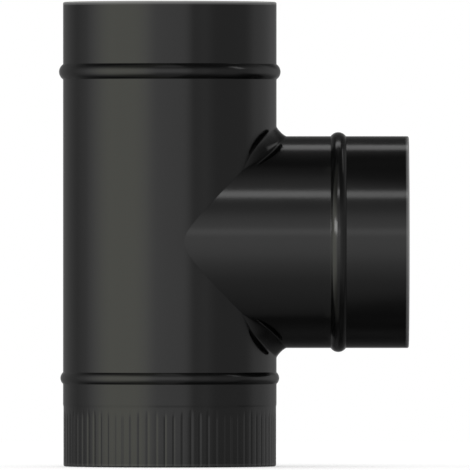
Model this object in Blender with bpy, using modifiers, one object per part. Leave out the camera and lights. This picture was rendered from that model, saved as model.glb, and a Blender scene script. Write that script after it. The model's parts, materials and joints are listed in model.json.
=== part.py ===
"""Stove pipe tee in black painted sheet steel.

Two sheet-metal pieces make the real object. The run pipe is one rolled sheet:
an open socket at the top, two swaged beads, and a lower end that is crimped
all round so that it slides into the next pipe. The branch collar is a second
rolled sheet whose inner end is cut to a fish-mouth. It sits on the side of the
run pipe, round a hole of nearly the same bore, and its edge stands up as a
half-round roll in the two crotches of the joint.

Units are metres, +Z is up along the run pipe and +X is the way the branch points.
The origin is at the middle of the footprint, on the floor.
"""

import math

import bmesh
import bpy
from mathutils import Vector

# Sheet and bore
SHEET = 0.0006
RUN_BORE = 0.1524
COLLAR_STEP = 0.0006

# Lengths along the run pipe, from its top end down
TOP_SOCKET = 0.0502
UPPER_NECK = 0.0463
LOWER_NECK = 0.0216
MALE_BAND = 0.0185
CRIMP_LENGTH = 0.045

# Lengths along the branch, from the crotch out
BRANCH_NECK = 0.0444
BRANCH_SOCKET = 0.0507

# Swaged beads: height above the wall, length along the pipe, fillet at each foot
BEAD_HEIGHT = 0.0029
BEAD_LENGTH = 0.0115
BEAD_FILLET = 0.0016
MALE_BEAD_HEIGHT = 0.0019
MALE_BEAD_LENGTH = 0.0088
MALE_BEAD_FILLET = 0.0013

# Crimps at the lower end
CRIMP_COUNT = 76
CRIMP_STEP = 0.0003
CRIMP_SHOULDER = 0.0015
CRIMP_RUNOUT = 0.007
GROOVE_WIDTH = 0.0026
GROOVE_DEPTH = 0.0015

# Joint between the two pieces
JOINT_GAP = 0.0003
HOLE_LEDGE = 0.0006
ROLL_RADIUS = 0.0046
ROLL_FULL_ANGLE = math.radians(24)
ROLL_END_ANGLE = math.radians(46)

# Fineness of the facets
COLUMNS = CRIMP_COUNT
CROWN_STEPS = 4
FILLET_STEPS = 2
ROLL_STEPS = 26
ROLL_RESOLUTION = 4

# How far a cutter runs past what it cuts, and the distance at which points are one
OVERRUN = 0.02
MERGE = 0.00001

# Sizes that follow from the ones above
RUN_RADIUS = RUN_BORE / 2 + SHEET
COLLAR_RADIUS = RUN_RADIUS - COLLAR_STEP
COLLAR_MIDDLE = COLLAR_RADIUS - SHEET / 2
SEAT_RADIUS = RUN_RADIUS + JOINT_GAP
HOLE_RADIUS = COLLAR_RADIUS - SHEET - HOLE_LEDGE
MALE_BEAD_Z = CRIMP_LENGTH + MALE_BAND
BRANCH_Z = MALE_BEAD_Z + LOWER_NECK + COLLAR_RADIUS
TOP_BEAD_Z = BRANCH_Z + COLLAR_RADIUS + UPPER_NECK
RUN_HEIGHT = TOP_BEAD_Z + TOP_SOCKET
BRANCH_BEAD_X = RUN_RADIUS + BRANCH_NECK
BRANCH_REACH = BRANCH_BEAD_X + BRANCH_SOCKET
RUN_AXIS_X = (RUN_RADIUS + BEAD_HEIGHT - BRANCH_REACH) / 2
ALONG_X = (0, math.pi / 2, 0)


def clear_scene():
    """Remove the objects of the scene that the file opens with."""
    for old in list(bpy.data.objects):
        bpy.data.objects.remove(old, do_unlink=True)


def new_collection(name):
    """A collection linked to the scene."""
    collection = bpy.data.collections.new(name)
    bpy.context.scene.collection.children.link(collection)
    return collection


def new_object(name, data, collection, parent=None, rotation=(0, 0, 0)):
    """An object in a collection, placed by its parent."""
    piece = bpy.data.objects.new(name, data)
    collection.objects.link(piece)
    piece.parent = parent
    piece.rotation_euler = rotation
    return piece


def new_empty(name, collection, location, parent=None):
    """An empty that carries other objects."""
    empty = new_object(name, None, collection, parent)
    empty.location = location
    return empty


def make_guide(piece):
    """Mark an object as a cutter or a guide, which is no part of the model."""
    piece.hide_render = True
    piece.display_type = "WIRE"
    return piece


def evaluated_mesh(piece):
    """The mesh of an object with its modifiers, as a mesh of its own."""
    bpy.context.view_layer.update()
    depsgraph = bpy.context.evaluated_depsgraph_get()
    return bpy.data.meshes.new_from_object(piece.evaluated_get(depsgraph))


def joined_mesh(name, meshes):
    """One smooth mesh from several, with the points that coincide made one."""
    builder = bmesh.new()
    for mesh in meshes:
        builder.from_mesh(mesh)
    bmesh.ops.remove_doubles(builder, verts=builder.verts, dist=MERGE)
    joined = bpy.data.meshes.new(name)
    builder.to_mesh(joined)
    builder.free()
    joined.shade_smooth()
    return joined


def stove_paint(name):
    """Black heat-proof paint with a low sheen."""
    material = bpy.data.materials.new(name)
    material.use_nodes = True
    shader = material.node_tree.nodes["Principled BSDF"]
    shader.inputs["Base Color"].default_value = (0.014, 0.014, 0.015, 1.0)
    shader.inputs["Roughness"].default_value = 0.3
    shader.inputs["Metallic"].default_value = 0.0
    return material


def arc(middle, radius, first, last, steps):
    """Points of an arc in the profile plane, as (radius, height) pairs."""
    points = []
    for step in range(steps + 1):
        angle = first + (last - first) * step / steps
        points.append((middle[0] + radius * math.cos(angle), middle[1] + radius * math.sin(angle)))
    return points


def bead_profile(wall, middle, height, length, fillet):
    """Profile of a swaged bead, from its upper foot down to its lower foot.

    The crown is one arc. The fillet at each foot is tangent to the crown and to the wall.
    """
    foot = length / 2
    crown = (foot ** 2 + height ** 2) / (2 * height) - fillet
    crown_middle = wall + height - crown
    lean = math.atan2(foot, wall + fillet - crown_middle)
    upper_foot = arc((wall + fillet, middle + foot), fillet, math.pi, math.pi + lean, FILLET_STEPS)
    top = arc((crown_middle, middle), crown, lean, -lean, CROWN_STEPS)
    lower_foot = arc((wall + fillet, middle - foot), fillet, math.pi - lean, math.pi, FILLET_STEPS)
    return upper_foot + top[1:] + lower_foot[1:]


def profile_mesh(name, points):
    """A profile at +X, for a Screw about Z, drawn from its upper end to its lower end."""
    corners = [(radius, 0, height) for radius, height in points]
    edges = [(index, index + 1) for index in range(len(corners) - 1)]
    mesh = bpy.data.meshes.new(name)
    mesh.from_pydata(corners, edges, [])
    return mesh


def add_screw(piece):
    """Turn a profile once about Z."""
    screw = piece.modifiers.new("turn", "SCREW")
    screw.steps = COLUMNS
    screw.render_steps = COLUMNS
    screw.use_merge_vertices = True
    screw.merge_threshold = MERGE
    return screw


def add_sheet(piece):
    """Give a surface the thickness of the sheet, inward."""
    solidify = piece.modifiers.new("sheet", "SOLIDIFY")
    solidify.thickness = SHEET
    solidify.offset = -1
    solidify.use_even_offset = True
    return solidify


def add_boolean(piece, operation, other):
    """Cut a piece with another solid, or join one to it."""
    boolean = piece.modifiers.new(other.name, "BOOLEAN")
    boolean.operation = operation
    boolean.object = other
    return boolean


def round_cutter(name, radius, length, collection, parent, rotation=(0, 0, 0)):
    """A cylinder centred on its parent, used to cut."""
    builder = bmesh.new()
    bmesh.ops.create_cone(
        builder,
        cap_ends=True,
        segments=COLUMNS,
        radius1=radius,
        radius2=radius,
        depth=length,
    )
    mesh = bpy.data.meshes.new(name)
    builder.to_mesh(mesh)
    builder.free()
    return make_guide(new_object(name, mesh, collection, parent, rotation))


def on_pipe(radius, angle, height):
    """A point given by its distance from the pipe's axis, its angle and its height."""
    return Vector((radius * math.cos(angle), radius * math.sin(angle), height))


def crimp_cell_mesh():
    """One crimp: a sloped shoulder, a groove that runs out upward, and a flat crest."""
    crest = RUN_RADIUS - CRIMP_STEP
    valley = crest - GROOVE_DEPTH
    pitch = math.tau / CRIMP_COUNT
    groove = GROOVE_WIDTH / crest
    shoulder_z = CRIMP_LENGTH - CRIMP_SHOULDER
    full_z = shoulder_z - CRIMP_RUNOUT

    builder = bmesh.new()
    upper_left = builder.verts.new(on_pipe(RUN_RADIUS, 0, CRIMP_LENGTH))
    upper_right = builder.verts.new(on_pipe(RUN_RADIUS, pitch, CRIMP_LENGTH))
    left = builder.verts.new(on_pipe(crest, 0, shoulder_z))
    right = builder.verts.new(on_pipe(crest, pitch, shoulder_z))
    runout = builder.verts.new(left.co.lerp(right.co, groove / pitch / 2))
    builder.faces.new((upper_left, left, runout, right, upper_right))

    rows = []
    for height in (full_z, 0):
        stations = ((crest, 0), (valley, groove / 2), (crest, groove), (crest, pitch))
        rows.append([builder.verts.new(on_pipe(radius, angle, height)) for radius, angle in stations])
    full, end = rows
    builder.faces.new((left, full[0], runout))
    builder.faces.new((runout, full[0], full[1]))
    builder.faces.new((runout, full[1], full[2]))
    builder.faces.new((runout, full[2], full[3], right))
    for index in range(len(full) - 1):
        builder.faces.new((full[index], end[index], end[index + 1], full[index + 1]))

    mesh = bpy.data.meshes.new("crimp_cell")
    builder.to_mesh(mesh)
    builder.free()
    return mesh


def crimped_end_mesh(guides):
    """The crimp repeated round the pipe."""
    turn = new_empty("crimp_turn", guides, (0, 0, 0))
    turn.rotation_euler = (0, 0, math.tau / CRIMP_COUNT)
    cell = new_object("crimp_cell", crimp_cell_mesh(), guides)
    ring = cell.modifiers.new("ring", "ARRAY")
    ring.count = CRIMP_COUNT
    ring.use_relative_offset = False
    ring.use_object_offset = True
    ring.offset_object = turn
    ring.use_merge_vertices = True
    ring.use_merge_vertices_cap = True
    ring.merge_threshold = MERGE
    mesh = evaluated_mesh(cell)
    bpy.data.objects.remove(cell)
    bpy.data.objects.remove(turn)
    return mesh


def barrel_mesh(guides):
    """The plain and beaded part of the run pipe, above the crimps."""
    profile = [(RUN_RADIUS, RUN_HEIGHT)]
    profile += bead_profile(RUN_RADIUS, TOP_BEAD_Z, BEAD_HEIGHT, BEAD_LENGTH, BEAD_FILLET)
    profile += bead_profile(
        RUN_RADIUS, MALE_BEAD_Z, MALE_BEAD_HEIGHT, MALE_BEAD_LENGTH, MALE_BEAD_FILLET
    )
    profile.append((RUN_RADIUS, CRIMP_LENGTH))
    barrel = new_object("barrel", profile_mesh("barrel", profile), guides)
    add_screw(barrel)
    mesh = evaluated_mesh(barrel)
    bpy.data.objects.remove(barrel)
    return mesh


def make_run_pipe(parts, guides, floor_frame, branch_frame):
    """The through pipe, with the hole for the branch in its side."""
    surface = joined_mesh("run_pipe", (barrel_mesh(guides), crimped_end_mesh(guides)))
    pipe = new_object("run_pipe", surface, parts, floor_frame)
    pipe.data.materials.append(stove_paint("run_pipe_paint"))
    add_sheet(pipe)
    hole = round_cutter(
        "side_hole", HOLE_RADIUS, RUN_RADIUS + OVERRUN, guides, branch_frame, ALONG_X
    )
    hole.location.x = (RUN_RADIUS + OVERRUN) / 2
    add_boolean(pipe, "DIFFERENCE", hole)
    return pipe


def roll_radius(angle):
    """Radius of the roll: full near the crotch, then fading into the sheet."""
    fade = (abs(angle) - ROLL_FULL_ANGLE) / (ROLL_END_ANGLE - ROLL_FULL_ANGLE)
    fade = min(max(fade, 0), 1)
    thin_end = SHEET / 4
    return thin_end + (ROLL_RADIUS - thin_end) * (1 + math.cos(math.pi * fade)) / 2


def make_roll(name, side, guides, branch_frame, core):
    """The collar's raised edge in one crotch, along the line where the two pipes meet."""
    curve = bpy.data.curves.new(name, "CURVE")
    curve.dimensions = "3D"
    curve.bevel_depth = ROLL_RADIUS
    curve.bevel_resolution = ROLL_RESOLUTION
    curve.use_fill_caps = True
    spline = curve.splines.new("POLY")
    spline.points.add(ROLL_STEPS)
    for step, point in enumerate(spline.points):
        angle = ROLL_END_ANGLE * (2 * step / ROLL_STEPS - 1)
        across = COLLAR_MIDDLE * math.sin(angle)
        outward = math.sqrt(SEAT_RADIUS ** 2 - across ** 2)
        point.co = (outward, across, side * COLLAR_MIDDLE * math.cos(angle), 1)
        point.radius = roll_radius(angle) / ROLL_RADIUS
    wire = new_object(name, curve, guides, branch_frame)
    mesh = joined_mesh(name, (evaluated_mesh(wire),))
    bpy.data.objects.remove(wire)
    roll = make_guide(new_object(name, mesh, guides, branch_frame))
    add_boolean(roll, "DIFFERENCE", core)
    return roll


def make_branch_collar(parts, guides, branch_frame):
    """The side pipe, cut to sit on the run pipe, with a roll in each crotch."""
    profile = [(COLLAR_RADIUS, BRANCH_REACH)]
    profile += bead_profile(COLLAR_RADIUS, BRANCH_BEAD_X, BEAD_HEIGHT, BEAD_LENGTH, BEAD_FILLET)
    profile.append((COLLAR_RADIUS, 0))
    surface = profile_mesh("branch_collar", profile)
    collar = new_object("branch_collar", surface, parts, branch_frame, ALONG_X)
    collar.data.materials.append(stove_paint("branch_collar_paint"))
    add_screw(collar)
    add_sheet(collar)
    core = round_cutter(
        "collar_core", COLLAR_MIDDLE, 2 * BRANCH_REACH, guides, branch_frame, ALONG_X
    )
    for name, side in (("upper_roll", 1), ("lower_roll", -1)):
        roll = make_roll(name, side, guides, branch_frame, core)
        add_boolean(collar, "UNION", roll)
    seat = round_cutter("seat", SEAT_RADIUS, 2 * RUN_HEIGHT, guides, branch_frame)
    add_boolean(collar, "DIFFERENCE", seat)
    return collar


def main():
    """Build the tee."""
    clear_scene()
    parts = new_collection("stove_pipe_tee")
    guides = new_collection("cutters")
    floor_frame = new_empty("run_axis_on_floor", parts, (RUN_AXIS_X, 0, 0))
    branch_frame = new_empty("axes_crossing", parts, (0, 0, BRANCH_Z), floor_frame)
    make_run_pipe(parts, guides, floor_frame, branch_frame)
    make_branch_collar(parts, guides, branch_frame)


main()
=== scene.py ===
# %% [markdown]
# A stove pipe tee in black painted sheet steel
#
# The object is a duct fitting made from two rolled sheets. The run pipe stands upright. It has a
# plain socket end at the top, two swaged beads, and a lower end crimped all round, so that it
# slides into the pipe below. The branch collar is a shorter pipe of nearly the same bore. Its
# inner end is cut to a fish-mouth that sits on the side of the run pipe, and its edge stands up as
# a roll in the two crotches.
#
# This script loads the finished CAD model as a fixed frame, remakes both sheets as fine smooth
# meshes in the same places, paints them, and lights them in a small studio.

# %% Load the frame
import json
import math

import bmesh
import bpy
from mathutils import Matrix, Vector

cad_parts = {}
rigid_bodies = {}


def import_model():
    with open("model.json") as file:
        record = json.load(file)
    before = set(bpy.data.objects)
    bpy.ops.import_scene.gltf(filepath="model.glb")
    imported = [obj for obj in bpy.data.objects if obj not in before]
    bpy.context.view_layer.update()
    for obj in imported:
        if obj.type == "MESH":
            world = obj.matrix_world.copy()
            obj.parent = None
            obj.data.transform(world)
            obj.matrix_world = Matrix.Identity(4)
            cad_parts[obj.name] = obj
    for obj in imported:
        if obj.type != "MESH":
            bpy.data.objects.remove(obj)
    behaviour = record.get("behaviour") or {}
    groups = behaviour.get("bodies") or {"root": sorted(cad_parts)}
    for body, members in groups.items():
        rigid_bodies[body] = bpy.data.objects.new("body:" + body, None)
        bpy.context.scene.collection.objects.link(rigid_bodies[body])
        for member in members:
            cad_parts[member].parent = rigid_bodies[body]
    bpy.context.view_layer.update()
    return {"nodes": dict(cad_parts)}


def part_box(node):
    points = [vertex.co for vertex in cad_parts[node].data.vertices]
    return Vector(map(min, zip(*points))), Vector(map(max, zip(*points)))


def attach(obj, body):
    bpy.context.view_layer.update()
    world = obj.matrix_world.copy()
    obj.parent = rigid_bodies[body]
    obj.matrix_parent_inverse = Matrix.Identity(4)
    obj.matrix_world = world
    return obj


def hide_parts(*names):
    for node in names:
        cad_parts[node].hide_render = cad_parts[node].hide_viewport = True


for old in list(bpy.data.objects):
    bpy.data.objects.remove(old, do_unlink=True)
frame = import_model()
print("CAD nodes:", sorted(frame["nodes"]))

# %% [markdown]
# Sizes
#
# All sizes could be typed in, but then they could drift from the CAD model. So the places come
# from the frame's boxes, and the meshes land exactly where the CAD model has them. Only what a box
# doesn't tell is named here: the sheet's thickness, the height of a bead, and how much smaller the
# collar's radius is than the run pipe's. The branch's rim stays a hair inside its box.

# %% Sizes from the frame
MM = 0.001
SHEET = 0.6 * MM
BEAD_HEIGHT = 2.9 * MM
COLLAR_STEP = 0.6 * MM
BOX_MARGIN = 0.001 * MM

run_low, run_high = (Vector(corner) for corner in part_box("run_pipe"))
branch_low, branch_high = (Vector(corner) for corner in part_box("branch_collar"))

RUN_RADIUS = (run_high.y - run_low.y) / 2 - BEAD_HEIGHT
RUN_AXIS_X = run_low.x + BEAD_HEIGHT + RUN_RADIUS
RUN_HEIGHT = run_high.z
COLLAR_RADIUS = RUN_RADIUS - COLLAR_STEP
BRANCH_Z = (branch_low.z + branch_high.z) / 2
BRANCH_REACH = branch_high.x - RUN_AXIS_X - BOX_MARGIN
print(f"run pipe: radius {RUN_RADIUS / MM:.2f} mm, height {RUN_HEIGHT / MM:.1f} mm")
print(f"branch: radius {COLLAR_RADIUS / MM:.2f} mm, axis {BRANCH_Z / MM:.1f} mm up")

# %% [markdown]
# Camera
#
# The photograph is taken square on, from far away: both beads are dead straight. A camera without
# perspective would show that too, but a very long lens at a great distance gives nearly parallel
# lines, and it still turns round the object in other views. Three measures in the photograph's
# pixels place it: the width of the run pipe, the column of its axis and the row of the floor.

# %% Camera
PHOTO_PIXELS = 470
PHOTO_RUN_WIDTH = 213.5
PHOTO_AXIS_COLUMN = 169.8
PHOTO_FLOOR_ROW = 466.3
SENSOR = 36
LENS = 1500
CLIP_END = 100

photo_scale = 2 * RUN_RADIUS / PHOTO_RUN_WIDTH
view_width = PHOTO_PIXELS * photo_scale
camera_distance = view_width * LENS / SENSOR
aim_x = RUN_AXIS_X + (PHOTO_PIXELS / 2 - PHOTO_AXIS_COLUMN) * photo_scale
aim_z = (PHOTO_FLOOR_ROW - PHOTO_PIXELS / 2) * photo_scale

camera_data = bpy.data.cameras.new("camera")
camera_data.lens = LENS
camera_data.sensor_width = SENSOR
camera_data.clip_end = CLIP_END
camera = bpy.data.objects.new("camera", camera_data)
camera.location = (aim_x, -camera_distance, aim_z)
camera.rotation_euler = (math.pi / 2, 0, 0)
bpy.context.scene.collection.objects.link(camera)
bpy.context.scene.camera = camera
print(f"camera {camera_distance:.2f} m away, view {view_width / MM:.1f} mm wide")

# %% [markdown]
# Black stove paint
#
# Stove paint is a thin, hard, nearly black film with a low sheen. The steel under it doesn't show,
# so the metallic value stays at zero and the reflections are those of the paint's own surface.
# What keeps it from looking like plastic is small: the gloss wanders a little from place to place,
# and the film has a very fine orange peel. Both could be painted pictures, but noise on object
# coordinates needs no unwrapping and stays with the metal. At the rims the colour is paler, in a
# band two millimetres wide that is found by its place along the pipe, and the last millimetre is
# paler still. Part of that is real: thin paint on the rolled edge and bare steel at the cut edge.
# Part is a painted highlight that stands in for the light line along the rims, so the top rim and
# the branch's end are painted much paler than the crimped end.

# %% Stove paint
DARK_PAINT = (0.0020, 0.0020, 0.0021, 1)
WORN_PAINT = (0.0030, 0.0030, 0.0029, 1)
PAINT_IOR = 1.5
GLOSS_SCALE = 45
GLOSS_DETAIL = 3
LOW_ROUGHNESS = 0.13
HIGH_ROUGHNESS = 0.18
PEEL_SCALE = 700
PEEL_DETAIL = 2
PEEL_STRENGTH = 0.12
PEEL_HEIGHT = 0.05 * MM
# Widths of the pale rim bands: thin paint and bare steel, with a painted highlight on top.
RIM_PAINT_HIGHLIGHT_BAND = 2.1 * MM
EDGE_STEEL_HIGHLIGHT_BAND = 0.9 * MM
RIM_HIGHLIGHT_FADE = 0.5 * MM


def stove_paint(name, axis, rims):
    """Black paint, fine orange peel; rims (place, inward side, width, tone) paler: thin paint,
    painted highlight.
    """
    material = bpy.data.materials.new(name)
    material.use_nodes = True
    nodes = material.node_tree.nodes
    links = material.node_tree.links
    shader = nodes["Principled BSDF"]
    shader.inputs["IOR"].default_value = PAINT_IOR
    place = nodes.new("ShaderNodeTexCoord")

    gloss_noise = nodes.new("ShaderNodeTexNoise")
    gloss_noise.inputs["Scale"].default_value = GLOSS_SCALE
    gloss_noise.inputs["Detail"].default_value = GLOSS_DETAIL
    links.new(place.outputs["Object"], gloss_noise.inputs["Vector"])
    gloss = nodes.new("ShaderNodeMapRange")
    gloss.inputs["To Min"].default_value = LOW_ROUGHNESS
    gloss.inputs["To Max"].default_value = HIGH_ROUGHNESS
    links.new(gloss_noise.outputs["Fac"], gloss.inputs["Value"])
    links.new(gloss.outputs["Result"], shader.inputs["Roughness"])

    tone = nodes.new("ShaderNodeMix")
    tone.data_type = "RGBA"
    tone.inputs[6].default_value = DARK_PAINT
    tone.inputs[7].default_value = WORN_PAINT
    links.new(gloss_noise.outputs["Fac"], tone.inputs[0])

    split = nodes.new("ShaderNodeSeparateXYZ")
    links.new(place.outputs["Object"], split.inputs[0])
    paint = tone.outputs[2]
    # Each rim band is partly thin paint and bare steel, and partly a painted highlight.
    for end, inward, width, grey in rims:
        near = nodes.new("ShaderNodeMapRange")
        near.interpolation_type = "SMOOTHSTEP"
        near.inputs["From Min"].default_value = end + inward * (width + RIM_HIGHLIGHT_FADE)
        near.inputs["From Max"].default_value = end + inward * width
        links.new(split.outputs[axis], near.inputs["Value"])
        thin_paint_and_highlight_mix = nodes.new("ShaderNodeMix")
        thin_paint_and_highlight_mix.data_type = "RGBA"
        thin_paint_and_highlight_mix.inputs[7].default_value = (grey, grey, grey, 1)
        links.new(near.outputs["Result"], thin_paint_and_highlight_mix.inputs[0])
        links.new(paint, thin_paint_and_highlight_mix.inputs[6])
        paint = thin_paint_and_highlight_mix.outputs[2]
    links.new(paint, shader.inputs["Base Color"])

    peel_noise = nodes.new("ShaderNodeTexNoise")
    peel_noise.inputs["Scale"].default_value = PEEL_SCALE
    peel_noise.inputs["Detail"].default_value = PEEL_DETAIL
    links.new(place.outputs["Object"], peel_noise.inputs["Vector"])
    peel = nodes.new("ShaderNodeBump")
    peel.inputs["Strength"].default_value = PEEL_STRENGTH
    peel.inputs["Distance"].default_value = PEEL_HEIGHT
    links.new(peel_noise.outputs["Fac"], peel.inputs["Height"])
    links.new(peel.outputs["Normal"], shader.inputs["Normal"])
    return material


# A rim is its place, the side on which the sheet lies, the width of the pale band and its tone.
# Each band is thin paint and bare steel, and also a painted highlight, so the top is paler.
run_thin_paint_and_highlight = (
    (RUN_HEIGHT, -1, RIM_PAINT_HIGHLIGHT_BAND, 0.08),
    (RUN_HEIGHT, -1, EDGE_STEEL_HIGHLIGHT_BAND, 0.26),
    (0, 1, RIM_PAINT_HIGHLIGHT_BAND, 0.022),
)
collar_thin_paint_and_highlight = ((branch_high.x, -1, RIM_PAINT_HIGHLIGHT_BAND, 0.075), (branch_high.x, -1, EDGE_STEEL_HIGHLIGHT_BAND, 0.20))
run_paint = stove_paint("run_pipe_paint", "Z", run_thin_paint_and_highlight)
collar_paint = stove_paint("branch_collar_paint", "X", collar_thin_paint_and_highlight)
print("paints:", run_paint.name, collar_paint.name)

# %% [markdown]
# The section of a sheet
#
# Both pipes are turned shapes, so each one starts as the section of its sheet: a closed chain of
# points that goes up the outer side and down the inner side. The rings of a cylinder could be
# pushed about by hand instead, but arcs keep every crown and fillet round and true to its size. A
# bead is pressed out by a swaging wheel, so it has a round crown and a fillet at each foot, and
# the inner side follows the outer one at the sheet's thickness. Each end of the sheet is rolled
# over a little, so that the rims catch the light.

# %% Arcs and beads
BEAD_LENGTH = 11.5 * MM
BEAD_FILLET = 0.55 * MM
MALE_BEAD_HEIGHT = 1.9 * MM
MALE_BEAD_LENGTH = 8.8 * MM
MALE_BEAD_FILLET = 0.45 * MM
RIM_ROUND = 1.2 * MM


def arc(middle, radius, first, last, steps):
    """Points of an arc, as (distance from the axis, height) pairs."""
    points = []
    for step in range(steps + 1):
        angle = first + (last - first) * step / steps
        points.append((middle[0] + radius * math.cos(angle), middle[1] + radius * math.sin(angle)))
    return points


def bead(wall, middle, height, length, fillet, inset, steps):
    """One side of a bead, from its lower foot up. The inset is the depth below the outer face."""
    foot = length / 2
    crown = (foot ** 2 + height ** 2) / (2 * height) - fillet
    crown_middle = wall + height - crown
    lean = math.atan2(foot, wall + fillet - crown_middle)
    low = arc((wall + fillet, middle - foot), fillet + inset, math.pi, math.pi - lean, steps // 3)
    top = arc((crown_middle, middle), crown - inset, -lean, lean, steps)
    high = arc((wall + fillet, middle + foot), fillet + inset, math.pi + lean, math.pi, steps // 3)
    return low + top[1:] + high[1:]


def rim(wall, end, inset, steps, at_top):
    """One side of a rolled-over end."""
    side = 1 if at_top else -1
    middle = (wall - RIM_ROUND, end - side * RIM_ROUND)
    turn = arc(middle, RIM_ROUND - inset, 0, side * math.pi / 2, steps)
    return turn if at_top else turn[::-1]


print(f"beads: {BEAD_LENGTH / MM:.1f} mm and {MALE_BEAD_LENGTH / MM:.1f} mm long")

# %% Section of the run pipe
TOP_SOCKET = 50.2 * MM
MALE_BEAD_Z = 63.5 * MM
CRIMP_LENGTH = 45 * MM
CRIMP_STEP = 0.3 * MM
CRIMP_SHOULDER = 2.6 * MM
CRIMP_RUNOUT = 9 * MM
OUTER_STEPS = 12
INNER_STEPS = 6


def run_side(inset, steps):
    """One side of the run pipe's sheet, from the crimped end up."""
    crest = RUN_RADIUS - CRIMP_STEP
    points = rim(crest, 0, inset, steps // 2, at_top=False)
    shoulder_z = CRIMP_LENGTH - CRIMP_SHOULDER
    full_z = shoulder_z - CRIMP_RUNOUT
    points.append((crest - inset, full_z / 2))
    runout_steps = steps * 2 // 3
    for step in range(runout_steps + 1):
        points.append((crest - inset, full_z + CRIMP_RUNOUT * step / runout_steps))
    shoulder_steps = steps // 3
    for step in range(1, shoulder_steps + 1):
        share = step / shoulder_steps
        ease = share * share * (3 - 2 * share)
        points.append((crest - inset + CRIMP_STEP * ease, shoulder_z + CRIMP_SHOULDER * share))
    points += bead(
        RUN_RADIUS, MALE_BEAD_Z, MALE_BEAD_HEIGHT, MALE_BEAD_LENGTH, MALE_BEAD_FILLET, inset, steps
    )
    points += bead(
        RUN_RADIUS, RUN_HEIGHT - TOP_SOCKET, BEAD_HEIGHT, BEAD_LENGTH, BEAD_FILLET, inset, steps
    )
    points += rim(RUN_RADIUS, RUN_HEIGHT, inset, steps // 2, at_top=True)
    return points


def section_object(name, side):
    """A closed section as a mesh of points, up the outer side and down the inner side."""
    points = side(0, OUTER_STEPS) + side(SHEET, INNER_STEPS)[::-1]
    mesh = bpy.data.meshes.new(name)
    mesh.from_pydata([(radius, 0, height) for radius, height in points], [], [])
    piece = bpy.data.objects.new(name, mesh)
    bpy.context.scene.collection.objects.link(piece)
    print(f"{name}: {len(points)} points in the section")
    return piece


run_pipe = section_object("run_pipe_sheet", run_side)

# %% [markdown]
# A node tree that turns a section
#
# A lathe could be a Screw modifier, but the crimps and the seam change the radius from one angle
# to the next. So the turning is a formula in Geometry Nodes. A grid has one row for each point of
# the section and one column for each angle. Each grid point reads its section point by row number,
# and a few sums move it to its place round the axis. To keep those sums readable, a small helper
# class lets Python's own signs add the Math nodes.

# %% Sums made of nodes
class Sum:
    """A number in a node tree. Python's signs on it add Math nodes."""

    def __init__(self, tree, socket):
        self.tree = tree
        self.socket = socket

    def math(self, operation, *others):
        """One Math node with this number as its first input."""
        node = self.tree.nodes.new("ShaderNodeMath")
        node.operation = operation
        for slot, value in enumerate((self,) + others):
            if isinstance(value, Sum):
                self.tree.links.new(value.socket, node.inputs[slot])
            else:
                node.inputs[slot].default_value = value
        return Sum(self.tree, node.outputs[0])

    def __add__(self, other):
        return self.math("ADD", other)

    def __sub__(self, other):
        return self.math("SUBTRACT", other)

    def __mul__(self, other):
        return self.math("MULTIPLY", other)

    def __truediv__(self, other):
        return self.math("DIVIDE", other)

    def sin(self):
        return self.math("SINE")

    def cos(self):
        return self.math("COSINE")

    def root(self):
        return self.math("SQRT")

    def smooth(self, start, end):
        """0 before start, 1 after end, and an eased rise between them."""
        node = self.tree.nodes.new("ShaderNodeMapRange")
        node.interpolation_type = "SMOOTHSTEP"
        self.tree.links.new(self.socket, node.inputs["Value"])
        for name, value in (("From Min", start), ("From Max", end)):
            if isinstance(value, Sum):
                self.tree.links.new(value.socket, node.inputs[name])
            else:
                node.inputs[name].default_value = value
        return Sum(self.tree, node.outputs["Result"])


def new_tree(name, inputs):
    """A geometry node tree with a mesh in, a mesh out and named number inputs."""
    tree = bpy.data.node_groups.new(name, "GeometryNodeTree")
    tree.is_modifier = True
    face = tree.interface
    face.new_socket("Geometry", in_out="INPUT", socket_type="NodeSocketGeometry")
    for label, kind, value in inputs:
        socket = face.new_socket(label, in_out="INPUT", socket_type=kind)
        if value is not None:
            socket.default_value = value
    face.new_socket("Geometry", in_out="OUTPUT", socket_type="NodeSocketGeometry")
    way_in = tree.nodes.new("NodeGroupInput")
    way_out = tree.nodes.new("NodeGroupOutput")
    return tree, way_in, way_out


def number(tree, way_in, label):
    """A named input of the tree, as a number to reckon with."""
    return Sum(tree, way_in.outputs[label])


def parts_of(tree, vector):
    """The three parts of a vector socket."""
    split = tree.nodes.new("ShaderNodeSeparateXYZ")
    tree.links.new(vector, split.inputs[0])
    return [Sum(tree, socket) for socket in split.outputs]


def vector_of(tree, x, y, z):
    """A vector socket from three numbers."""
    join = tree.nodes.new("ShaderNodeCombineXYZ")
    for slot, value in enumerate((x, y, z)):
        tree.links.new(value.socket, join.inputs[slot])
    return join.outputs[0]


print("node helpers ready")

# %% [markdown]
# Crimps and seam
#
# A crimping tool bites a narrow groove into the sheet and leaves a wide, flat crest beside it, and
# it works round the pipe a bite at a time. The grooves fade out upward. They could be 76 cutters in
# a ring, but a pull towards the axis, which repeats with the angle and fades with the height,
# leaves the sheet in one piece and equally thick. The columns are drawn together at the middle of
# each groove, where the shape bends most. The seam is where the sheet's two edges were lapped and
# welded, down the back of the pipe: one edge steps in under the other and then eases out again.

# %% Turned sheet tree
GROOVE_EASE = 0.6
SEAM_STEP_SHARE = 0.05
SEAM_EASE_SHARE = 0.4
WELD_DISTANCE = 0.002 * MM


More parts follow.
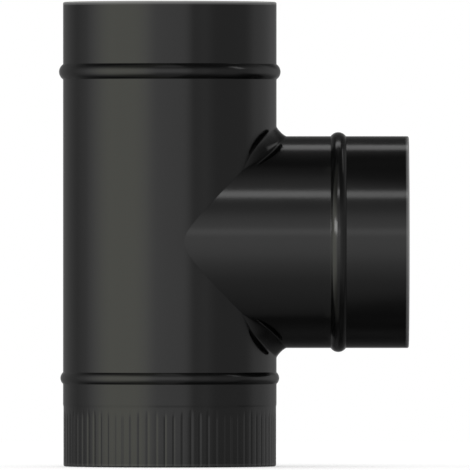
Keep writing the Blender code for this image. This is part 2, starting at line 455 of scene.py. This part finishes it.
def turned_sheet_tree():
    """A section turned about Z, with grooves near its lower end and a lapped seam."""
    tree, way_in, way_out = new_tree(
        "turned_sheet",
        [
            ("Grooves", "NodeSocketInt", 76),
            ("Columns a Groove", "NodeSocketInt", 8),
            ("Groove Depth", "NodeSocketFloat", 0.0),
            ("Groove Spread", "NodeSocketFloat", 0.0),
            ("Seed", "NodeSocketInt", 0),
            ("Groove Share", "NodeSocketFloat", 0.42),
            ("Groove Full Height", "NodeSocketFloat", 0.0),
            ("Groove End Height", "NodeSocketFloat", 1.0),
            ("Seam Depth", "NodeSocketFloat", 0.0),
            ("Seam Width", "NodeSocketFloat", 0.16),
            ("Material", "NodeSocketMaterial", None),
        ],
    )
    nodes = tree.nodes
    links = tree.links
    grooves = number(tree, way_in, "Grooves")
    each = number(tree, way_in, "Columns a Groove")

    size = nodes.new("GeometryNodeAttributeDomainSize")
    links.new(way_in.outputs["Geometry"], size.inputs["Geometry"])
    rows = Sum(tree, size.outputs["Point Count"])
    columns = grooves * each
    grid = nodes.new("GeometryNodeMeshGrid")
    links.new((columns + 1).socket, grid.inputs["Vertices X"])
    links.new((rows + 1).socket, grid.inputs["Vertices Y"])

    index = Sum(tree, nodes.new("GeometryNodeInputIndex").outputs[0])
    column = (index / (rows + 1)).math("FLOOR")
    row = (index - column * (rows + 1)).math("FLOORED_MODULO", rows)
    sample = nodes.new("GeometryNodeSampleIndex")
    sample.data_type = "FLOAT_VECTOR"
    place = nodes.new("GeometryNodeInputPosition").outputs[0]
    links.new(way_in.outputs["Geometry"], sample.inputs["Geometry"])
    links.new(place, sample.inputs["Value"])
    links.new(row.socket, sample.inputs["Index"])
    radius, _, height = parts_of(tree, sample.outputs["Value"])

    turned = column.math("FLOORED_MODULO", columns) / each
    groove = turned.math("FLOOR")
    share = turned - groove
    eased = share + (share * math.tau).sin() * (GROOVE_EASE / math.tau)
    angle = (groove + eased) / grooves * math.tau

    off_middle = (eased - 0.5).math("ABSOLUTE") / number(tree, way_in, "Groove Share") * 2
    luck = nodes.new("FunctionNodeRandomValue")
    links.new(groove.socket, luck.inputs["ID"])
    links.new(way_in.outputs["Seed"], luck.inputs["Seed"])
    uneven = (Sum(tree, luck.outputs[1]) - 0.5) * number(tree, way_in, "Groove Spread") + 1
    bite = off_middle.smooth(1.0, 0.0) * uneven
    fade = height.smooth(
        number(tree, way_in, "Groove End Height"), number(tree, way_in, "Groove Full Height")
    )
    pulled = radius - bite * fade * number(tree, way_in, "Groove Depth")

    past_seam = (angle - math.pi / 2) / number(tree, way_in, "Seam Width")
    under = past_seam.smooth(0.0, SEAM_STEP_SHARE) * past_seam.smooth(1.0, SEAM_EASE_SHARE)
    final = pulled - under * number(tree, way_in, "Seam Depth")

    move = nodes.new("GeometryNodeSetPosition")
    links.new(grid.outputs["Mesh"], move.inputs["Geometry"])
    links.new(
        vector_of(tree, final * angle.cos(), final * angle.sin(), height),
        move.inputs["Position"],
    )
    weld = nodes.new("GeometryNodeMergeByDistance")
    weld.inputs["Distance"].default_value = WELD_DISTANCE
    smooth = nodes.new("GeometryNodeSetShadeSmooth")
    real = nodes.new("GeometryNodeRealizeInstances")
    paint = nodes.new("GeometryNodeSetMaterial")
    links.new(way_in.outputs["Material"], paint.inputs["Material"])
    chain = (move, weld, smooth, real, paint, way_out)
    for before, after in zip(chain, chain[1:]):
        links.new(before.outputs[0], after.inputs[0])
    return tree


turned_sheet = turned_sheet_tree()
print("turned_sheet tree:", len(turned_sheet.nodes), "nodes")

# %% Use a tree on an object
def add_tree(piece, tree, values):
    """Put a node tree on an object, with its inputs set by their identifiers."""
    modifier = piece.modifiers.new(tree.name, "NODES")
    modifier.node_group = tree
    names = {
        item.name: item.identifier
        for item in tree.interface.items_tree
        if item.item_type == "SOCKET" and item.in_out == "INPUT"
    }
    for label, value in values.items():
        modifier[names[label]] = value


def bake(piece):
    """Replace an object's mesh with the result of its modifiers."""
    depsgraph = bpy.context.evaluated_depsgraph_get()
    mesh = bpy.data.meshes.new_from_object(piece.evaluated_get(depsgraph))
    piece.modifiers.clear()
    piece.data = mesh


def place_mesh(piece, matrix):
    """Move the mesh to its place, and leave the object at the origin."""
    piece.data.transform(matrix)
    piece.data.update()


print("object helpers ready")

# %% [markdown]
# Run pipe
#
# The real pipe is one sheet that is rolled, joined, beaded and crimped in turn. Here the tree does
# all of that at once, with a few columns for each crimp. Random numbers with a fixed seed make some
# grooves deeper than others, as a hand tool does. The result is then made a plain mesh, and its
# place goes into that mesh, so that the paint's object coordinates are those of the whole tee.

# %% Run pipe
CRIMP_COUNT = 76
GROOVE_COLUMNS = 7
GROOVE_DEPTH = 0.4 * MM
GROOVE_SHARE = 0.32
GROOVE_SPREAD = 0.5
GROOVE_SEED = 5
SEAM_DEPTH = 0.4 * MM

add_tree(
    run_pipe,
    turned_sheet,
    {
        "Grooves": CRIMP_COUNT,
        "Columns a Groove": GROOVE_COLUMNS,
        "Groove Depth": GROOVE_DEPTH,
        "Groove Spread": GROOVE_SPREAD,
        "Seed": GROOVE_SEED,
        "Groove Share": GROOVE_SHARE,
        "Groove Full Height": CRIMP_LENGTH - CRIMP_SHOULDER - CRIMP_RUNOUT,
        "Groove End Height": CRIMP_LENGTH - CRIMP_SHOULDER,
        "Seam Depth": SEAM_DEPTH,
        "Material": run_paint,
    },
)
bake(run_pipe)
place_mesh(run_pipe, Matrix.Translation((RUN_AXIS_X, 0, 0)))
print("run pipe sheet:", len(run_pipe.data.polygons), "faces")

# %% [markdown]
# Pinched hollows
#
# Beside each crotch roll the forming tool has pinched a narrow, deep hollow into both walls. It is
# shaped like a slice of lemon, with a steep side next to the roll, and it is so deep that it looks
# black. A lens-shaped cutter would leave a sharp rim and a hole, so the wall's own points are
# pressed in instead. A point on either wall is named by its turn round the branch and by its
# distance from the joint, and the hollow is a depth for each such point. Its sizes are the turn at
# its middle, half its span, the distance from the joint to its near edge, how much that edge
# drifts, and the widths of its steep side and its far side.

# %% Depth of the hollows
PINCH_RUN = {
    "middle": math.radians(29.8),
    "half span": math.radians(9.8),
    "edge": 6.2 * MM,
    "drift": 2.0 * MM,
    "steep": 2.0 * MM,
    "far": 3.2 * MM,
}
PINCH_COLLAR = {
    "middle": math.radians(33),
    "half span": math.radians(10.5),
    "edge": 6.1 * MM,
    "drift": 1.2 * MM,
    "steep": 2.7 * MM,
    "far": 2.4 * MM,
}
PINCH_DEPTH = 4.3 * MM
PINCH_CUTS = 3


def joint_angle(turn):
    """Angle between the two walls at a turn round the branch."""
    return math.pi - math.acos(COLLAR_RADIUS / RUN_RADIUS * math.sin(turn) ** 2)


def pinch_depth(turn, away, pinch):
    """Depth of a hollow at a turn round the branch and a distance from the joint."""
    along = (turn - pinch["middle"]) / pinch["half span"]
    if abs(along) >= 1:
        return 0
    lens = math.sqrt(1 - along ** 2)
    bottom = pinch["edge"] - pinch["drift"] * along + pinch["steep"] * lens
    width = pinch["steep"] if away < bottom else pinch["far"]
    rise = max(1 - abs(away - bottom) / (width * lens), 0)
    return PINCH_DEPTH * lens * rise * rise * (3 - 2 * rise)


def hollow_at(point, on_run):
    """Depth of the hollow at a point on the wall of the run pipe or of the collar."""
    out = point.x - RUN_AXIS_X
    up = point.z - BRANCH_Z
    if out <= 0:
        return 0
    over_run = math.hypot(out, point.y) - RUN_RADIUS
    over_collar = math.hypot(point.y, up) - COLLAR_RADIUS
    turn = math.atan2(abs(point.y), abs(up))
    lean = math.sin(joint_angle(turn))
    if on_run:
        return pinch_depth(turn, over_collar / lean, PINCH_RUN)
    return pinch_depth(turn, over_run / lean, PINCH_COLLAR)


def press_hollows(piece, on_run):
    """Cut the faces round the hollows small, and press their points towards the pipe's axis."""
    fine = bmesh.new()
    fine.from_mesh(piece.data)
    inside = [vertex for vertex in fine.verts if hollow_at(vertex.co, on_run)]
    edges = {edge for vertex in inside for face in vertex.link_faces for edge in face.edges}
    bmesh.ops.subdivide_edges(fine, edges=list(edges), cuts=PINCH_CUTS, use_grid_fill=True)
    pressed = 0
    for vertex in fine.verts:
        depth = hollow_at(vertex.co, on_run)
        if depth:
            x, _, z = vertex.co
            axis_point = Vector((RUN_AXIS_X, 0, z) if on_run else (x, 0, BRANCH_Z))
            vertex.co += (axis_point - vertex.co).normalized() * depth
            pressed += 1
    fine.to_mesh(piece.data)
    fine.free()
    print(f"{piece.name}: {pressed} points pressed in")


print(f"hollows up to {PINCH_DEPTH / MM:.1f} mm deep")

# %% [markdown]
# The run pipe's wall is one tall row of faces between its beads, and a wall can only bend where it
# has points. So it first gets level cuts at the heights of the hollows, above and below the
# branch's axis, and only on the faces that lie near enough to them.

# %% Hollows in the run pipe
ZONE_LOW = 59 * MM
ZONE_HIGH = 84 * MM
ZONE_STEP = 1.2 * MM
ZONE_NEAR = 25 * MM
ZONE_FAR = 55 * MM

rows = bmesh.new()
rows.from_mesh(run_pipe.data)
zone_steps = round((ZONE_HIGH - ZONE_LOW) / ZONE_STEP)
for side in (1, -1):
    for step in range(zone_steps + 1):
        cut_z = BRANCH_Z + side * (ZONE_LOW + ZONE_STEP * step)
        faces = [
            face
            for face in rows.faces
            if face.calc_center_median().x > RUN_AXIS_X
            and ZONE_NEAR < abs(face.calc_center_median().y) < ZONE_FAR
            and min(vertex.co.z for vertex in face.verts) < cut_z
            and max(vertex.co.z for vertex in face.verts) > cut_z
        ]
        edges = {edge for face in faces for edge in face.edges}
        points = {vertex for face in faces for vertex in face.verts}
        bmesh.ops.bisect_plane(
            rows,
            geom=faces + list(edges) + list(points),
            plane_co=(0, 0, cut_z),
            plane_no=(0, 0, 1),
        )
rows.to_mesh(run_pipe.data)
rows.free()
press_hollows(run_pipe, on_run=True)
print("run pipe with its hollows:", len(run_pipe.data.polygons), "faces")

# %% [markdown]
# Side hole
#
# The hole for the branch is cut a little smaller than the collar's bore, so its edge shows inside
# the branch. The wall could be modelled round it, but the sheet is a closed body, so a Boolean with
# a round cutter gives the true line where the two pipes cross.

# %% Side hole
HOLE_RADIUS = COLLAR_RADIUS - 2 * SHEET
HOLE_SIDES = 304
SHARP_ANGLE = math.radians(40)

bpy.ops.mesh.primitive_cylinder_add(
    vertices=HOLE_SIDES,
    radius=HOLE_RADIUS,
    depth=BRANCH_REACH,
    location=(RUN_AXIS_X + BRANCH_REACH / 2, 0, BRANCH_Z),
    rotation=(0, math.pi / 2, 0),
)
hole_cutter = bpy.context.object
cut = run_pipe.modifiers.new("side_hole", "BOOLEAN")
cut.operation = "DIFFERENCE"
cut.solver = "MANIFOLD"
cut.object = hole_cutter
bake(run_pipe)
bpy.data.objects.remove(hole_cutter)
run_pipe.data.shade_smooth()
run_pipe.data.set_sharp_from_angle(angle=SHARP_ANGLE)
print("run pipe with its hole:", len(run_pipe.data.polygons), "faces")

# %% [markdown]
# Branch collar
#
# The collar is turned by the same tree, and then a second tree gives its inner end the shape of a
# fish-mouth. It has no crimps, so the groove numbers only say how many columns it has. A Boolean
# could cut the fish-mouth, but it would leave long thin faces at the edge. Where two round pipes
# cross square on, a point that lies y to the side meets the run pipe at a distance of the root of
# radius squared less y squared from its axis. The tree draws the neck's rows out to that line, so
# the edge is exact and the mesh stays even. The rows lie closer near the joint, where the hollows
# are.

# %% Section of the collar
BRANCH_SOCKET = 50.7 * MM
FINE_ROWS = 15
FINE_SHARE = 0.42
WIDE_ROWS = 7
NECK_SHARES = [FINE_SHARE * row / FINE_ROWS for row in range(FINE_ROWS)]
NECK_SHARES += [FINE_SHARE + (1 - FINE_SHARE) * row / WIDE_ROWS for row in range(WIDE_ROWS)]
neck_end = BRANCH_REACH - BRANCH_SOCKET - BEAD_LENGTH / 2


def collar_side(inset, steps):
    """One side of the collar's sheet, from the run pipe's axis out."""
    wall = COLLAR_RADIUS - inset
    points = [(wall, neck_end * share) for share in NECK_SHARES]
    middle = BRANCH_REACH - BRANCH_SOCKET
    points += bead(COLLAR_RADIUS, middle, BEAD_HEIGHT, BEAD_LENGTH, BEAD_FILLET, inset, steps)
    points += rim(COLLAR_RADIUS, BRANCH_REACH, inset, steps // 2, at_top=True)
    return points


collar = section_object("branch_collar_sheet", collar_side)

# %% Fish-mouth tree
def fish_mouth_tree():
    """Draws the neck of a turned pipe out to the wall of a pipe that crosses it."""
    tree, way_in, way_out = new_tree(
        "fish_mouth",
        [("Seat Radius", "NodeSocketFloat", 0.08), ("Neck End", "NodeSocketFloat", 0.1)],
    )
    place = tree.nodes.new("GeometryNodeInputPosition").outputs[0]
    x, y, z = parts_of(tree, place)
    seat_radius = number(tree, way_in, "Seat Radius")
    end = number(tree, way_in, "Neck End")
    seat = (seat_radius * seat_radius - y * y).root()
    along = (z / end).math("MINIMUM", 1.0)
    drawn = z + seat * (along * -1 + 1)
    move = tree.nodes.new("GeometryNodeSetPosition")
    tree.links.new(way_in.outputs["Geometry"], move.inputs["Geometry"])
    tree.links.new(vector_of(tree, x, y, drawn), move.inputs["Position"])
    tree.links.new(move.outputs[0], way_out.inputs[0])
    return tree


fish_mouth = fish_mouth_tree()
print("fish_mouth tree:", len(fish_mouth.nodes), "nodes")

# %% Collar
QUARTERS = 4
QUARTER_COLUMNS = 128
SEAT_GAP = 0.1 * MM

add_tree(
    collar,
    turned_sheet,
    {
        "Grooves": QUARTERS,
        "Columns a Groove": QUARTER_COLUMNS,
        "Seam Depth": SEAM_DEPTH,
        "Material": collar_paint,
    },
)
add_tree(collar, fish_mouth, {"Seat Radius": RUN_RADIUS + SEAT_GAP, "Neck End": neck_end})
bake(collar)
place_mesh(
    collar,
    Matrix.Translation((RUN_AXIS_X, 0, BRANCH_Z)) @ Matrix.Rotation(math.pi / 2, 4, "Y"),
)
press_hollows(collar, on_run=False)
collar.data.shade_smooth()
collar.data.set_sharp_from_angle(angle=SHARP_ANGLE)
print("collar sheet:", len(collar.data.polygons), "faces")

# %% [markdown]
# Crotch rolls
#
# In each crotch the collar's edge is turned up over the joint as a broad, low roll that fades into
# the joint on both sides. It has to lie on two round walls at once, and those meet at a right angle
# in the crotch and at an ever flatter one further round. A tube along a curve would sink into one
# wall or float off the other. So each point is named by its height above the run pipe and its
# height above the collar: the point is then where two slightly larger pipes would cross. The
# section is drawn once, as a curve that leaves each wall along it and crosses the corner nearly
# straight, for whatever angle the walls make there.

# %% Section of a roll
ROLL_REACH = 7.4 * MM
ROLL_PULL = 1.9 * MM
ROLL_SINK = 0.03 * MM
ROLL_CORE = 0.25 * MM
ROLL_POINTS = 32


def roll_section(dihedral, share):
    """Section of the roll as (height above run pipe, height above collar) pairs."""
    reach = ROLL_REACH * share
    near = reach - ROLL_PULL * share
    lean = Vector((math.cos(dihedral), math.sin(dihedral)))
    flat = Vector((1, 0))
    corners = (flat * reach, flat * near, lean * near, lean * reach)
    heights = []
    for step in range(ROLL_POINTS + 1):
        way = step / ROLL_POINTS
        back = 1 - way
        shares = (back ** 3, 3 * back ** 2 * way, 3 * back * way ** 2, way ** 3)
        point = sum((corner * part for corner, part in zip(corners, shares)), Vector((0, 0)))
        over_run = point.x * math.sin(dihedral) - point.y * math.cos(dihedral)
        heights.append((over_run - ROLL_SINK, point.y - ROLL_SINK))
    heights.append((SEAT_GAP, -ROLL_CORE))
    return heights


def on_joint(angle, over_run, over_collar, side):
    """The point of the joint at an angle round the branch and two heights."""
    across = (COLLAR_RADIUS + over_collar) * math.sin(angle)
    up = side * (COLLAR_RADIUS + over_collar) * math.cos(angle)
    out = math.sqrt((RUN_RADIUS + over_run) ** 2 - across ** 2)
    return (RUN_AXIS_X + out, across, BRANCH_Z + up)


print(f"roll: {ROLL_REACH / MM:.1f} mm up each wall")

# %% Upper and lower roll
ROLL_FADE = 4.5
ROLL_END_ANGLE = math.radians(47)
ROLL_END_SHARE = 0.02
ROLL_COLUMNS = 160
ROLL_SHARP_ANGLE = math.radians(50)


def crotch_roll(name, side):
    """A closed mesh of the roll in the upper or lower crotch."""
    corners = []
    for column in range(ROLL_COLUMNS + 1):
        angle = ROLL_END_ANGLE * (2 * column / ROLL_COLUMNS - 1)
        turn = abs(angle)
        share = max(1 - (turn / ROLL_END_ANGLE) ** ROLL_FADE, ROLL_END_SHARE)
        section = roll_section(joint_angle(turn), share)
        corners += [on_joint(angle, run, over, side) for run, over in section]
    rows = len(corners) // (ROLL_COLUMNS + 1)
    faces = []
    for column in range(ROLL_COLUMNS):
        for row in range(rows):
            here = column * rows + row
            up = column * rows + (row + 1) % rows
            face = (here, up, up + rows, here + rows)
            faces.append(face if side > 0 else face[::-1])
    first = tuple(range(rows))
    last = tuple(range(ROLL_COLUMNS * rows, (ROLL_COLUMNS + 1) * rows))
    faces.append(first[::-1] if side > 0 else first)
    faces.append(last if side > 0 else last[::-1])
    mesh = bpy.data.meshes.new(name)
    mesh.from_pydata(corners, [], faces)
    mesh.materials.append(collar_paint)
    mesh.shade_smooth()
    mesh.set_sharp_from_angle(angle=ROLL_SHARP_ANGLE)
    piece = bpy.data.objects.new(name, mesh)
    bpy.context.scene.collection.objects.link(piece)
    print(f"{name}: {len(faces)} faces")
    return piece


upper_roll = crotch_roll("upper_roll", 1)
lower_roll = crotch_roll("lower_roll", -1)

# %% [markdown]
# Two pieces for two sheets
#
# The rolls are the collar's own turned-up edge, so they are joined to it. Nothing on a tee moves:
# both pieces ride on its one body, and each stands in the place of its CAD node.

# %% Join the rolls to the collar
with bpy.context.temp_override(
    active_object=collar,
    selected_editable_objects=[collar, upper_roll, lower_roll],
):
    bpy.ops.object.join()
print("collar with its rolls:", len(collar.data.polygons), "faces")

# %% Put the sheets in the place of the CAD nodes
for piece, node in ((run_pipe, "run_pipe"), (collar, "branch_collar")):
    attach(piece, "root")
    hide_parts(node)

# %% [markdown]
# Floor and background
#
# The photograph has a pure white background with a faint grey contact shadow under the rim. A
# shadow catcher could do that, but it would need compositing. So the world is white to the camera
# and a shade darker for diffuse light, and the floor is a sheet of pale paper that catches the
# shadow. Some emission, seen directly only, lifts the paper to the white of the background, so
# that no horizon shows. The gloss doesn't see the floor: it shows the tent, which comes later.

# %% Background
def seen_directly(nodes, links):
    """1 for camera, glossy and transmission rays, and 0 for the others."""
    path = nodes.new("ShaderNodeLightPath")
    first = nodes.new("ShaderNodeMath")
    first.operation = "MAXIMUM"
    second = nodes.new("ShaderNodeMath")
    second.operation = "MAXIMUM"
    links.new(path.outputs["Is Camera Ray"], first.inputs[0])
    links.new(path.outputs["Is Glossy Ray"], first.inputs[1])
    links.new(first.outputs[0], second.inputs[0])
    links.new(path.outputs["Is Transmission Ray"], second.inputs[1])
    return second.outputs[0]


DIFFUSE_SKY = 0.95

world = bpy.data.worlds.new("white_studio")
world.use_nodes = True
bpy.context.scene.world = world
sky_nodes = world.node_tree.nodes
sky_links = world.node_tree.links
sky = sky_nodes["Background"]
level = sky_nodes.new("ShaderNodeMapRange")
level.inputs["To Min"].default_value = DIFFUSE_SKY
level.inputs["To Max"].default_value = 1.0
sky_links.new(seen_directly(sky_nodes, sky_links), level.inputs["Value"])
sky.inputs["Color"].default_value = (1, 1, 1, 1)
sky_links.new(level.outputs["Result"], sky.inputs["Strength"])
print("world ready")

# %% Floor
FLOOR_HALF = 1.6
FLOOR_DROP = 0.2 * MM
FLOOR_ALBEDO = 0.6
FLOOR_LIFT = 0.5

bpy.ops.mesh.primitive_plane_add(size=2 * FLOOR_HALF, location=(0, 0, -FLOOR_DROP))
floor = bpy.context.object
floor.name = "floor"
paper = bpy.data.materials.new("pale_floor")
paper.use_nodes = True
paper_nodes = paper.node_tree.nodes
paper_links = paper.node_tree.links
paper_nodes.remove(paper_nodes["Principled BSDF"])
matte = paper_nodes.new("ShaderNodeBsdfDiffuse")
matte.inputs["Color"].default_value = (FLOOR_ALBEDO, FLOOR_ALBEDO, FLOOR_ALBEDO, 1)
lift = paper_nodes.new("ShaderNodeEmission")
lifted = paper_nodes.new("ShaderNodeMath")
lifted.operation = "MULTIPLY"
lifted.inputs[1].default_value = FLOOR_LIFT
paper_links.new(seen_directly(paper_nodes, paper_links), lifted.inputs[0])
paper_links.new(lifted.outputs[0], lift.inputs["Strength"])
both = paper_nodes.new("ShaderNodeAddShader")
paper_links.new(matte.outputs[0], both.inputs[0])
paper_links.new(lift.outputs[0], both.inputs[1])
paper_links.new(both.outputs[0], paper_nodes["Material Output"].inputs["Surface"])
floor.data.materials.append(paper)
floor.visible_glossy = False
print("floor ready")

# %% [markdown]
# Lights
#
# Black gloss shows the studio and not itself, so the light is a matter of what stands round it.
# One picture of a studio on the world could give all of it, but lamps and cloth can be moved one at
# a time. The object stands in a tent of grey cloth, because a pipe in an all-white room has no
# shape. A big soft box shines through the cloth at the left front: the glow of the cloth there is
# the broad warm band on the run pipe, and the box itself isn't seen in the gloss. Lamps inside the
# tent make the fine lines and glints.

# %% Directions round the object
CENTRE = Vector((RUN_AXIS_X, 0, BRANCH_Z))
LAMP_DISTANCE = 3.3
TENT_DISTANCE = 3.6


def aside(azimuth, elevation):
    """A direction: azimuth 0 is towards the camera and positive to the right."""
    turn = math.radians(azimuth)
    rise = math.radians(elevation)
    flat = math.cos(rise)
    return Vector((math.sin(turn) * flat, -math.cos(turn) * flat, math.sin(rise)))


def overhead(pitch, sideways):
    """A direction: pitch 0 is towards the camera, 90 straight up and 180 away from it."""
    turn = math.radians(pitch)
    lean = math.radians(sideways)
    flat = math.cos(lean)
    return Vector((math.sin(lean), -math.cos(turn) * flat, math.sin(turn) * flat))


print(f"lamps {LAMP_DISTANCE} m and tent {TENT_DISTANCE} m from where the two axes cross")

# %% [markdown]
# A lamp is given by its direction, its width and height in degrees, and its radiance. The branch
# lies level, so it reflects what stands in front of it, over it and behind it: three strips make
# its long lines. A fourth strip at the right rear makes the streak on the upper roll, and a glint
# from the left front shines on the branch's bead. A spot at the upper right shines on the right
# half of the run pipe's beads.

# %% Lamps
WARM = (1.0, 1.01, 0.90)


def soft_box(name, direction, width, height, radiance, colour=(1, 1, 1)):
    """An area lamp that faces the object, with its size in degrees as seen from there."""
    lamp = bpy.data.lights.new(name, "AREA")
    lamp.shape = "RECTANGLE"
    lamp.size = 2 * LAMP_DISTANCE * math.tan(math.radians(width / 2))
    lamp.size_y = 2 * LAMP_DISTANCE * math.tan(math.radians(height / 2))
    lamp.energy = radiance * math.pi * lamp.size * lamp.size_y
    lamp.color = colour
    body = bpy.data.objects.new(name, lamp)
    body.location = CENTRE + direction * LAMP_DISTANCE
    body.rotation_euler = direction.to_track_quat("Z", "Y").to_euler()
    bpy.context.scene.collection.objects.link(body)
    print(f"{name}: {lamp.size:.2f} by {lamp.size_y:.2f} m")
    return body


left_soft_box = soft_box("left_soft_box", aside(-52, 0), 56, 60, 0.4, WARM)
left_soft_box.visible_glossy = False
run_lamps = (soft_box("right_spot", aside(84, 34), 9, 22, 1.2),)
branch_lamps = (
    soft_box("front_strip", overhead(53, 0), 24, 7.5, 2.5),
    soft_box("low_front_strip", overhead(11, 0), 60, 6, 0.45),
    soft_box("rear_strip", overhead(125.5, 0), 28, 11, 1.0),
    soft_box("right_rear_strip", aside(119, 50), 28, 7, 0.7),
    soft_box("left_glint", aside(-35, 15.5), 38, 12, 4.6),
)

# %% [markdown]
# The branch's lamps are shaded from the run pipe, so its beads don't show them, and the spot is
# shaded from the branch. A photographer puts up black cards for that. Light linking does it here: a
# lamp with a receiver collection lights only what is in it.

# %% Shading by light linking
for sheet, lamps in ((run_pipe, run_lamps), (collar, branch_lamps)):
    lit = bpy.data.collections.new(f"lit_{sheet.name}")
    lit.objects.link(sheet)
    for lamp in lamps:
        lamp.light_linking.receiver_collection = lit
    print(f"for the {sheet.name} only:", [lamp.name for lamp in lamps])

# %% [markdown]
# The tent is a sphere of cloth, seen in reflections only. Its glow is one curve round the object
# times one curve from the floor to the ceiling. Each curve is a few stops, as a direction in
# degrees and a level, with a straight line between them. In front and behind, where the branch
# reflects it, the second curve is another one than at the sides. Dark flags at the rear and at the
# lower right keep the top, the bottom and the crotches of the branch black. A flag is its left,
# right, low and high edge in degrees, and runs past 180 so that it has no soft edge there.

# %% Glow of the tent
ROUND_STOPS = (
    (-180, 0.31), (-156, 0.19), (-149, 0.22), (-118, 0.26), (-102, 0.48), (-88, 0.95), (-76, 1.35),
    (-66, 1.55), (-38, 1.62), (-26, 1.45), (-20, 1.24), (-15, 1.06), (0, 1.00), (17, 0.96),
    (26, 0.46), (39, 0.54), (50, 0.38), (90, 0.33), (104, 0.48), (126, 0.38), (140, 0.32),
    (156, 0.20), (180, 0.31),
)
FRONT_STOPS = (
    (-90, 0.15), (-72, 0.22), (-41, 0.36), (-24, 0.60), (-12, 0.88), (0, 1.0), (14, 0.93),
    (25, 0.76), (35, 0.42), (42, 0.36), (60, 0.45), (70, 0.34), (80, 0.15), (90, 0.15),
)
SIDE_STOPS = (
    (-90, 0.10), (-57, 0.14), (-42, 0.32), (-32, 0.62), (-21, 0.86), (0, 1.0), (14, 0.95),
    (25, 0.80), (34, 0.52), (46, 0.22), (60, 0.14), (90, 0.10),
)
FRONT_HALF_WIDTH = 20
FLAGS = ((-200, -158, 14, 38), (-200, -158, -38, -14), (142, 200, 14, 38), (82, 200, -58, -14))
FLAG_SHARE = 0.42
SOFT_EDGE = 6
WARM_LEFT = (-95, -70)
WARM_RIGHT = (-15, -35)


def between(stops, value):
    """A value on the straight lines between the stops."""
    for (low, first), (high, second) in zip(stops, stops[1:]):
        if value <= high:
            return first + (second - first) * (value - low) / (high - low)
    return stops[-1][1]


def ramp(value, start, end):
    """0 before the start, 1 after the end, and a straight line between them."""
    return min(max((value - start) / (end - start), 0), 1)


def window(azimuth, elevation, left, right, low, high):
    """1 inside a part of the tent, 0 outside it, with soft edges."""
    share = 1
    for value, start, end in ((azimuth, left, right), (elevation, low, high)):
        share *= ramp(value, start - SOFT_EDGE, start + SOFT_EDGE)
        share *= ramp(value, end + SOFT_EDGE, end - SOFT_EDGE)
    return share


def tent_glow(azimuth, elevation):
    """How bright the cloth is in a direction."""
    off_middle = min(abs(azimuth), 180 - abs(azimuth))
    front = ramp(off_middle, FRONT_HALF_WIDTH + SOFT_EDGE, FRONT_HALF_WIDTH - SOFT_EDGE)
    fall_off = between(SIDE_STOPS, elevation)
    fall_off += (between(FRONT_STOPS, elevation) - fall_off) * front
    glow = between(ROUND_STOPS, azimuth) * fall_off
    for flag in FLAGS:
        glow *= 1 - (1 - FLAG_SHARE) * window(azimuth, elevation, *flag)
    return glow


def tent_colour(azimuth, elevation):
    """The glow of the cloth with the warm tint of the soft box behind it."""
    glow = tent_glow(azimuth, elevation)
    warmth = ramp(azimuth, *WARM_LEFT) * ramp(azimuth, *WARM_RIGHT)
    return [glow * (1 + (part - 1) * warmth) for part in WARM] + [1]


print("glow in front of the object:", tent_glow(0, 0))

# %% Cloth of the tent
TENT_COLUMNS = 180
TENT_ROWS = 90

corners = []
levels = []
for row in range(TENT_ROWS + 1):
    for column in range(TENT_COLUMNS + 1):
        azimuth = 360 * column / TENT_COLUMNS - 180
        elevation = 180 * row / TENT_ROWS - 90
        corners.append(CENTRE + aside(azimuth, elevation) * TENT_DISTANCE)
        levels += tent_colour(azimuth, elevation)
faces = []
for row in range(TENT_ROWS):
    for column in range(TENT_COLUMNS):
        here = row * (TENT_COLUMNS + 1) + column
        faces.append((here, here + 1, here + TENT_COLUMNS + 2, here + TENT_COLUMNS + 1))
cloth = bpy.data.meshes.new("tent")
cloth.from_pydata(corners, [], faces)
glow_layer = cloth.attributes.new("glow", "FLOAT_COLOR", "POINT")
glow_layer.data.foreach_set("color", levels)

lit_cloth = bpy.data.materials.new("lit_cloth")
lit_cloth.use_nodes = True
cloth_nodes = lit_cloth.node_tree.nodes
cloth_nodes.remove(cloth_nodes["Principled BSDF"])
cloth_glow = cloth_nodes.new("ShaderNodeAttribute")
cloth_glow.attribute_name = "glow"
cloth_light = cloth_nodes.new("ShaderNodeEmission")
cloth_output = cloth_nodes["Material Output"].inputs["Surface"]
lit_cloth.node_tree.links.new(cloth_glow.outputs["Color"], cloth_light.inputs["Color"])
lit_cloth.node_tree.links.new(cloth_light.outputs[0], cloth_output)
cloth.materials.append(lit_cloth)

tent = bpy.data.objects.new("tent", cloth)
bpy.context.scene.collection.objects.link(tent)
tent.visible_camera = False
tent.visible_diffuse = False
tent.visible_transmission = False
tent.visible_shadow = False
print("tent:", len(faces), "faces")

# %% [markdown]
# Finish
#
# The view transform is Standard, so a colour comes out as it is written.

# %% Finish
bpy.context.scene.view_settings.view_transform = "Standard"
